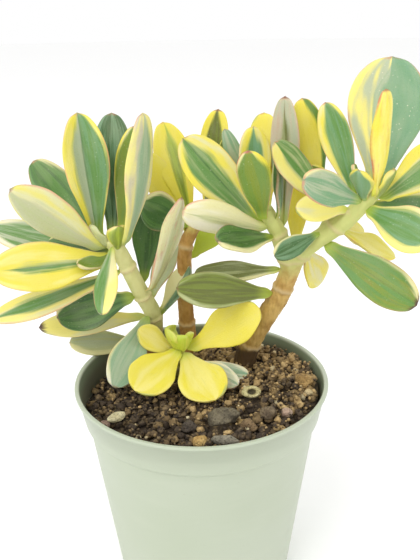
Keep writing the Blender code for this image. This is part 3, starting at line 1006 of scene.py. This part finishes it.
# %% Finish of a leaf
def leaf_finish(name, look, seed):
    skin = Finish(name, roughness=0.4)
    along = skin.said("along")
    across = skin.said("across")
    under = skin.said("under")
    grain = skin.said("grain", "Vector")
    long_streak = skin.noise(skin.drawn_out(grain, (0.03, 0.42, 1.0)), 1.0, 3.0, 0.6)
    fine_streak = skin.noise(skin.drawn_out(grain, (0.07, 1.7, 1.0), (0.0, 5.0, 2.0)), 1.0, 3.0, 0.65)
    broad = skin.noise(skin.drawn_out(grain, (0.05, 0.22, 1.0), (3.0, 9.0, 4.0)), 1.0, 2.0, 0.5)
    wander = across
    for streak, reach in ((long_streak, 2.0), (fine_streak, 0.8)):
        swing = skin.sum_up("SUBTRACT", streak, 0.5)
        wander = skin.sum_up("MULTIPLY_ADD", swing, look["wander"] * reach, wander)
    pinch = skin.times(skin.step(along, 0.7, 1.0, 0.0, 0.35), skin.sum_up("SIGN", across))
    wander = skin.plus(wander, pinch)
    low, high = look["core"]
    soft = look["soft"]
    core = skin.times(skin.step(wander, low - soft, low + soft),
                       skin.step(wander, high - soft, high + soft, 1.0, 0.0))
    green = skin.mix(skin.step(long_streak, 0.42, 0.6, 0.0, look["streaks"]),
                     PAINTS[look["deep"]], PAINTS[look["pale"]])
    green = skin.mix(skin.step(fine_streak, 0.5, 0.75, 0.0, 0.5 * look["streaks"]), green,
                     PAINTS[look["pale"]])
    green = skin.mix(skin.step(fine_streak, 0.25, 0.45, 0.35, 0.0), green, PAINTS[look["deep"]])
    start, end = look["band"]
    band = skin.times(skin.step(wander, start - 0.08, start + 0.08),
                       skin.step(wander, end - 0.08, end + 0.08, 1.0, 0.0))
    green = skin.mix(skin.times(band, 0.85), green, PAINTS["grey"])
    rib = skin.step(skin.sum_up("ABSOLUTE", across), 0.0, 0.07, look["midrib"], 0.0)
    green = skin.mix(rib, green, PAINTS["deep"])
    margin = skin.mix(skin.step(broad, 0.4, 0.65), PAINTS[look["margin"]], PAINTS[look["margin_pale"]])
    margin = skin.mix(skin.step(fine_streak, 0.6, 0.8, 0.0, 0.3), margin, PAINTS[look["pale"]])
    colour = skin.mix(core, margin, green)
    colour = skin.mix(skin.step(along, 0.0, 0.2, 0.6, 0.0), colour, PAINTS["lime"])
    rim_share = skin.sum_up("ABSOLUTE", across)
    edge = skin.sum_up("MAXIMUM", skin.step(rim_share, 0.9, 1.0), skin.step(along, 0.965, 1.0))
    edge = skin.times(edge, skin.step(broad, 0.4, 0.62, 0.05 * look["blush"], look["blush"]))
    colour = skin.mix(edge, colour, PAINTS[look["edge"]])
    colour = skin.mix(skin.step(along, 0.975, 1.0, 0.0, look["tip"]), colour, PAINTS["brown"])
    if look["stain"]:
        patch = skin.noise(skin.drawn_out(grain, (0.12, 0.5, 1.0), (7.0, 1.0, 3.0)), 1.0, 4.0, 0.7)
        blot = skin.step(patch, 0.5, 0.68, 0.0, look["stain"])
        colour = skin.mix(blot, colour, PAINTS["rose"])
    if look["burn"]:
        ragged = skin.sum_up("MULTIPLY_ADD", long_streak, 0.16, along)
        burnt = skin.step(ragged, 1.04 - look["burn"], 1.1 - look["burn"])
        colour = skin.mix(burnt, colour, paint(78, 50, 36))
    dots = skin.step(skin.cells(grain, 0.62), 0.1, 0.16, look["dots"], 0.0)
    dots = skin.times(dots, skin.step(broad, 0.35, 0.65))
    colour = skin.mix(dots, colour, PAINTS["ivory"])
    colour = skin.mix(skin.times(under, look["under"]), colour, PAINTS["grey"])
    # Pale patches laid by noise: a waxy bloom, and also a painted highlight that lightens the leaf here and
    # there.
    haze = skin.noise(skin.drawn_out(grain, (0.06, 0.14, 1.0), (2.0, 6.0, 1.0)), 1.0, 2.0)
    wax_and_highlight = skin.step(haze, 0.42, 0.68)
    colour = skin.mix(skin.times(wax_and_highlight, look["wax_and_highlight"]), colour, PAINTS["ivory"])
    pores = skin.noise(grain, 2.6, 2.0)
    skin.relief(skin.plus(pores, fine_streak), 0.4, 0.0003)
    return skin.wear(colour, skin.step(pores, 0.3, 0.7, 0.26, 0.42), subsurface=0.22,
                     glow=(1.0, 0.85, 0.3), glow_reach=0.002)


print("leaf finish ready")

# %% [markdown]
# No two leaves are alike, so each one has a row of its own. A row only says where that leaf
# differs from the plain one: where its green band lies, from the right edge (-1) to the left edge
# (1) as seen from above with the tip up, which paints it uses, and how strongly it folds.

# %% One row for each leaf
LOOKS = {
    "leaf_left_01": dict(core=(-0.95, 0.5), deep="green", pale="sea", band=(0.02, 0.5), blush=0.8,
                         fold=0.4, vee=1.1, groove=0.4, midrib=0.4, margin_pale="butter"),
    "leaf_left_02": dict(core=(-1.6, 1.6), deep="deep", pale="blue", streaks=0.7),
    "leaf_left_03": dict(core=(-0.93, 0.95), deep="olive", pale="green", streaks=0.4, blush=0.9, tip=0.9,
                         wax_and_highlight=0.0),
    "leaf_left_04": dict(core=(-0.45, 0.5), deep="blue", pale="grey", margin="butter", margin_pale="dusk",
                         under=0.2),
    "leaf_left_05": dict(core=(-0.93, 1.6), deep="green", pale="deep", streaks=0.6, blush=0.9,
                         margin="cream"),
    "leaf_left_06": dict(core=(-0.93, 0.35), deep="sage", pale="dusk", streaks=0.4, margin="lemon",
                         blush=0.8, tip=0.8, point=0.5, under=0.25),
    "leaf_left_07": dict(core=(-0.85, 0.8), deep="green", pale="grey", streaks=0.95, margin="cream",
                         margin_pale="ivory"),
    "leaf_left_08": dict(core=(-0.1, 0.2), deep="green", pale="grey", margin_pale="butter", midrib=0.3),
    "leaf_left_09": dict(core=(0.95, 1.0), deep="olive"),
    "leaf_left_10": dict(core=(-0.45, 0.45), deep="green", pale="blue", margin="butter",
                         margin_pale="cream"),
    "leaf_left_11": dict(core=(-1.6, 0.0), deep="green", pale="grey", margin="butter", blush=0.7),
    "leaf_left_12": dict(core=(-0.8, 1.6), deep="deep", pale="green", streaks=0.7, margin="cream",
                         blush=0.7),
    "leaf_left_13": dict(core=(1.2, 1.3), margin="butter", burn=0.05, point=0.4),
    "leaf_left_14": dict(core=(-1.6, 0.6), deep="sage", pale="grey", streaks=0.7, blush=0.2,
                         margin="cream"),
    "leaf_left_15": dict(core=(-0.9, 1.6), deep="blue", pale="grey", streaks=0.5, blush=0.3,
                         margin="ivory"),
    "leaf_left_16": dict(core=(-1.6, 1.6), deep="deep", pale="green", streaks=0.5),
    "leaf_left_17": dict(core=(-0.4, 0.5), deep="sage", pale="cream", margin="cream", margin_pale="ivory",
                         blush=0.9, point=0.8, tip=0.8, stain=0.45, under=0.2),
    "leaf_middle_01": dict(core=(-0.8, 1.6), deep="deep", pale="green", streaks=0.5, margin="cream"),
    "leaf_middle_02": dict(core=(-0.35, 0.2), deep="olive", pale="lime", margin_pale="lemon"),
    "leaf_middle_03": dict(core=(-0.6, 0.6), deep="moss", pale="olive", tip=0.9, margin_pale="lemon"),
    "leaf_middle_04": dict(core=(-1.6, 1.6), deep="lime", pale="lime", under=0.0, wax_and_highlight=0.0),
    "leaf_centre_01": dict(core=(-0.45, 0.72), deep="green", pale="sage", streaks=0.35, midrib=0.6,
                           groove=0.4),
    "leaf_centre_02": dict(core=(-0.2, 0.3), deep="sage", pale="cream", margin="cream",
                           margin_pale="ivory", blush=0.9, under=0.0),
    "leaf_centre_03": dict(core=(-1.6, 0.75), deep="deep", pale="green", margin="cream"),
    "leaf_centre_04": dict(core=(-0.93, 0.93), deep="olive", pale="green", blush=1.0, edge="rose",
                           under=0.0, wax_and_highlight=0.0),
    "leaf_centre_05": dict(core=(-0.5, 0.5), deep="sea", pale="green"),
    "leaf_centre_06": dict(core=(1.2, 1.3), margin_pale="lemon"),
    "leaf_centre_07": dict(core=(-1.6, 0.7), deep="deep", pale="blue", margin="cream", fold=0.3),
    "leaf_centre_08": dict(core=(-1.6, 1.6), deep="blue", pale="grey", streaks=0.8),
    "leaf_centre_09": dict(core=(-0.28, 0.3), deep="moss", pale="sage", margin="dusk", margin_pale="grey",
                           blush=0.8, tip=1.0, stain=0.15),
    "leaf_back_01": dict(core=(-1.6, 0.3), deep="green", pale="sage", streaks=0.8, margin="butter",
                         blush=0.8),
    "leaf_back_02": dict(core=(-1.2, -0.6), deep="green", pale="olive", margin_pale="lemon"),
    "leaf_right_01": dict(core=(-1.6, 0.34), deep="sea", pale="blue", streaks=0.5, margin="butter",
                          margin_pale="grey", band=(0.2, 0.34), blush=0.7, wander=0.06, dots=0.8,
                          soft=0.03),
    "leaf_right_02": dict(core=(1.2, 1.3), edge="rose", blush=1.0, tip=0.6, stain=0.3, under=0.0,
                          margin_pale="butter"),
    "leaf_right_03": dict(core=(-0.95, 0.55), deep="green", pale="sea", blush=0.9),
    "leaf_right_04": dict(core=(-0.9, 1.6), deep="sea", pale="grey", streaks=0.9, margin="butter",
                          blush=0.9),
    "leaf_right_05": dict(core=(1.2, 1.3), margin="butter", point=0.5),
    "leaf_right_06": dict(core=(-0.65, 0.4), deep="green", pale="sage"),
    "leaf_right_07": dict(core=(-0.65, 0.7), deep="green", pale="deep"),
    "leaf_right_08": dict(core=(-0.7, 0.75), deep="green", pale="sea", streaks=0.6, margin="butter",
                          blush=0.6),
    "leaf_right_09": dict(core=(-1.6, 0.88), deep="green", pale="olive", streaks=0.8, margin="cream",
                          tip=1.0, stain=0.12, burn=0.02, midrib=0.3, under=0.0, wax_and_highlight=0.05),
    "leaf_right_10": dict(core=(1.2, 1.3), margin="butter", margin_pale="lemon", point=0.6),
    "leaf_right_11": dict(core=(-0.8, 1.6), deep="deep", pale="blue", margin="cream"),
    "leaf_right_12": dict(core=(1.2, 1.3), margin="lemon"),
    "leaf_right_13": dict(core=(-0.88, 0.88), deep="moss", pale="olive", streaks=0.6, margin="sage",
                          margin_pale="olive", edge="brown", blush=0.6, under=0.0, wax_and_highlight=0.0, dots=0.1),
    "leaf_right_14": dict(core=(-1.6, 0.7), deep="moss", pale="sage", streaks=0.7, margin="cream",
                          under=0.0, wax_and_highlight=0.0),
    "leaf_front_01": dict(core=(1.2, 1.3), margin_pale="lemon", blush=0.15, tip=0.0, lobes=0.16),
    "leaf_front_02": dict(core=(1.2, 1.3), margin_pale="butter", blush=0.15, tip=0.0),
    "leaf_front_03": dict(core=(1.2, 1.3), margin="butter", margin_pale="lemon", blush=0.15, tip=0.0),
    "leaf_front_04": dict(core=(1.2, 1.3), margin="butter", margin_pale="lemon", blush=0.2, tip=0.0,
                          under=0.0),
    "leaf_front_05": dict(core=(-1.6, 0.8), deep="blue", pale="ivory", streaks=0.8, margin="ivory"),
}

# %% Make the leaves
for seed, node in enumerate(leaf_nodes, 1):
    look = {**PLAIN_LOOK, **LOOKS.get(node, {})}
    mesh = leaf_mesh(node + "_grown", leaf_lines[node], look, seed)
    new_piece(node + "_grown", mesh, leaf_finish(node + "_skin", look, seed), node)
print("leaves made:", len(leaf_nodes))

# %% [markdown]
# The frame carries the leaves that matter for size and weight. Between them a living shoot also
# has buds and half-grown leaves, which fill its heart. They are lofted in the same way. Each one
# starts from a slice of its shoot, and borrows its outline from a full-grown leaf.


# %% Small leaves and buds
def planned_line(foot, azimuth, elevation, roll, length, width, bend):
    """Stations for a leaf that the frame doesn't hold, with the outline of one that it does."""
    pattern = leaf_lines["leaf_left_02"]
    widths = np.array([station[3] for station in pattern])
    widths *= 0.5 * width / widths.max()
    turn = (Matrix.Rotation(math.radians(azimuth), 3, "Z")
            @ Matrix.Rotation(math.radians(-elevation), 3, "Y")
            @ Matrix.Rotation(math.radians(roll), 3, "X"))
    half = math.radians(bend) / 2
    stations = []
    for i, (half_width, station) in enumerate(zip(widths, pattern)):
        t = 0.5 * (1 - math.cos(math.pi * i / 8))
        heading = half * (2 * t - 1)
        radius = length / (2 * math.sin(half))
        forward = radius * (math.sin(heading) + math.sin(half))
        along = Vector((forward, 0, radius * (math.cos(half) - math.cos(heading))))
        up = turn @ Vector((-math.sin(heading), 0, math.cos(heading)))
        stations.append((np.array(foot + turn @ along), np.array(turn @ Vector((0, 1, 0))), np.array(up),
                         half_width, 0.8 * station[4], 0.3 * half_width))
    return stations


YELLOW = dict(core=(1.2, 1.3), margin_pale="lemon", blush=0.3)
GREEN = dict(core=(-0.9, 0.9), deep="olive", pale="green", blush=0.5)
LIME = dict(core=(-1.6, 1.6), deep="lime", pale="butter", streaks=0.35, blush=0.1, tip=0.0,
            under=0.0, wax_and_highlight=0.0)
SMALL_LEAVES = {
    "heart_right_1": ("stem_right", 171, (64, -3), -125, 62, 14, 10, 25, -10, dict(GREEN, deep="sea",
                      blush=0.8)),
    "heart_right_2": ("stem_right", 171, (64, -3), -40, 60, 14, 10, 25, 10, dict(GREEN, deep="olive",
                      pale="lime")),
    "heart_right_3": ("stem_right", 172, (65, -4), 150, 72, 12, 5, 15, 0, dict(GREEN, tip=1.0)),
    "heart_back_1": ("stem_right", 169, (53, 9), 175, 58, 14, 8, 20, -60, dict(GREEN, edge="rose",
                     blush=1.0)),
    "heart_back_2": ("stem_right", 169, (53, 9), -10, 66, 13, 8, 20, 60, dict(GREEN, edge="rose",
                     blush=1.0)),
    "fork_yellow_1": ("stem_right", 146, (38, 10), 80, 62, 34, 11, 10, 0, YELLOW),
    "fork_yellow_2": ("stem_right", 158, (55, 3), 50, -25, 24, 12, 40, 60, dict(YELLOW,
                      margin_pale="butter")),
    "middle_yellow": ("stem_middle", 150, None, 168, 60, 38, 19, 15, -20, YELLOW),
    "middle_moss": ("stem_middle", 151, None, 15, 72, 40, 11, 10, 0, dict(GREEN, deep="moss", tip=1.0)),
    "left_hook": ("stem_left", 146, None, -140, 0, 17, 7, 75, -30, dict(GREEN, margin="cream")),
    "left_dark": ("stem_left", 147, None, 168, 4, 28, 11, 15, -40, dict(GREEN, deep="deep", blush=0.1)),
    "left_bud_1": ("stem_left", 149, None, -70, 66, 12, 9, 25, 0, dict(GREEN, pale="lime", under=0.0)),
    "left_bud_2": ("stem_left", 149, None, -150, 56, 13, 9, 25, 0, dict(LIME, deep="sage", pale="cream")),
    "left_bud_3": ("stem_left", 149, None, 20, 66, 14, 9, 25, 0, dict(GREEN, deep="sea")),
    "left_low_1": ("stem_left", 112, None, 5, 58, 26, 11, 15, 40, dict(core=(-1.6, 0.0), deep="deep",
                   margin="cream")),
    "left_low_2": ("stem_left", 120, None, 60, 45, 30, 12, 15, 0, dict(core=(-1.6, 1.6), deep="sage",
                   pale="grey")),
    "front_cup_1": ("stem_front", 101, None, -150, 66, 13, 11, 50, -25, dict(LIME, fold=0.4)),
    "front_cup_2": ("stem_front", 101, None, -75, 58, 12, 11, 50, 10, dict(LIME, fold=0.4)),
    "front_grey": ("stem_front", 92, None, -12, -4, 30, 9, 10, 35, dict(core=(-0.8, 0.8), deep="blue",
                   pale="ivory", margin="ivory", margin_pale="cream", tip=0.0)),
}
for seed, (name, row) in enumerate(SMALL_LEAVES.items(), 80):
    node, height, near, azimuth, elevation, length, width, bend, roll, own = row
    middle, radius = slice_of(node, height, near)
    outward = Vector((math.cos(math.radians(azimuth)), math.sin(math.radians(azimuth)), 0.0))
    line = planned_line(middle + outward * radius * 0.8, azimuth, elevation, roll, length, width, bend)
    look = {**PLAIN_LOOK, **own}
    new_piece("leaflet_" + name, leaf_mesh(name, line, look, seed), leaf_finish(name + "_skin", look, seed))
print("small leaves made:", len(SMALL_LEAVES))

# %% [markdown]
# ## Light, floor and camera
#
# The plant stands on a plain white floor in very soft light. A bright even sky gives the fill, and
# one wide lamp high at the front left gives the leaves their gentle sheen. The floor is a wide disc,
# so that no edge of it shows from any side.

# %% Floor and light
scene = bpy.context.scene
floor_mesh = turned("floor", [(0.0, 0.0), (150.0, 0.0), (600.0, 0.0), (2500.0, 0.0), (6000.0, 0.0)], 96)
white = Finish("studio_floor", roughness=0.9)
speckle = white.noise(white.rest_place(), 40.0, 2.0)
floor_colour = white.mix(speckle, (0.965, 0.965, 0.96, 1.0), (0.99, 0.99, 0.985, 1.0))
floor = bpy.data.objects.new("floor", floor_mesh)
floor.location.z = -0.0002
floor_mesh.materials.append(white.wear(floor_colour))
scene.collection.objects.link(floor)

world = bpy.data.worlds.new("studio")
world.use_nodes = True
world.node_tree.nodes["Background"].inputs[0].default_value = (1.0, 1.0, 1.0, 1.0)
world.node_tree.nodes["Background"].inputs[1].default_value = 1.0
scene.world = world


def soft_lamp(name, at, towards, size, watts):
    """A square lamp that looks at a point."""
    lamp = bpy.data.lights.new(name, "AREA")
    lamp.size = size
    lamp.energy = watts
    placed = bpy.data.objects.new(name, lamp)
    placed.location = at
    placed.rotation_euler = (Vector(towards) - Vector(at)).to_track_quat("-Z", "Y").to_euler()
    scene.collection.objects.link(placed)


soft_lamp("key_lamp", (-0.7, -0.8, 1.2), (0.0, 0.0, 0.12), 1.0, 11.0)
soft_lamp("fill_lamp", (0.9, -0.5, 0.8), (0.0, 0.0, 0.12), 0.9, 2.5)
print("light: an even sky, one wide lamp at the front left and a weaker one at the right")

# %% [markdown]
# The camera looks down at about 21 degrees from close by, which is how one looks at a plant on a
# table: the pot narrows strongly downwards, and the nearest leaves stand out.

# %% Camera
lens = bpy.data.cameras.new("camera")
lens.lens = 45.0
lens.sensor_width = 36.0
lens.clip_start = 0.01
camera = bpy.data.objects.new("camera", lens)
camera.matrix_world = (
    Matrix.Translation((0.0042, -0.2592, 0.2379))
    @ Matrix.Rotation(math.radians(90 - 21.11), 4, "X")
    @ Matrix.Rotation(math.radians(-0.93), 4, "Z"))
scene.collection.objects.link(camera)
scene.camera = camera
scene.view_settings.view_transform = "Standard"
print("camera", round(camera.location.y / MM), "mm in front of the plant")
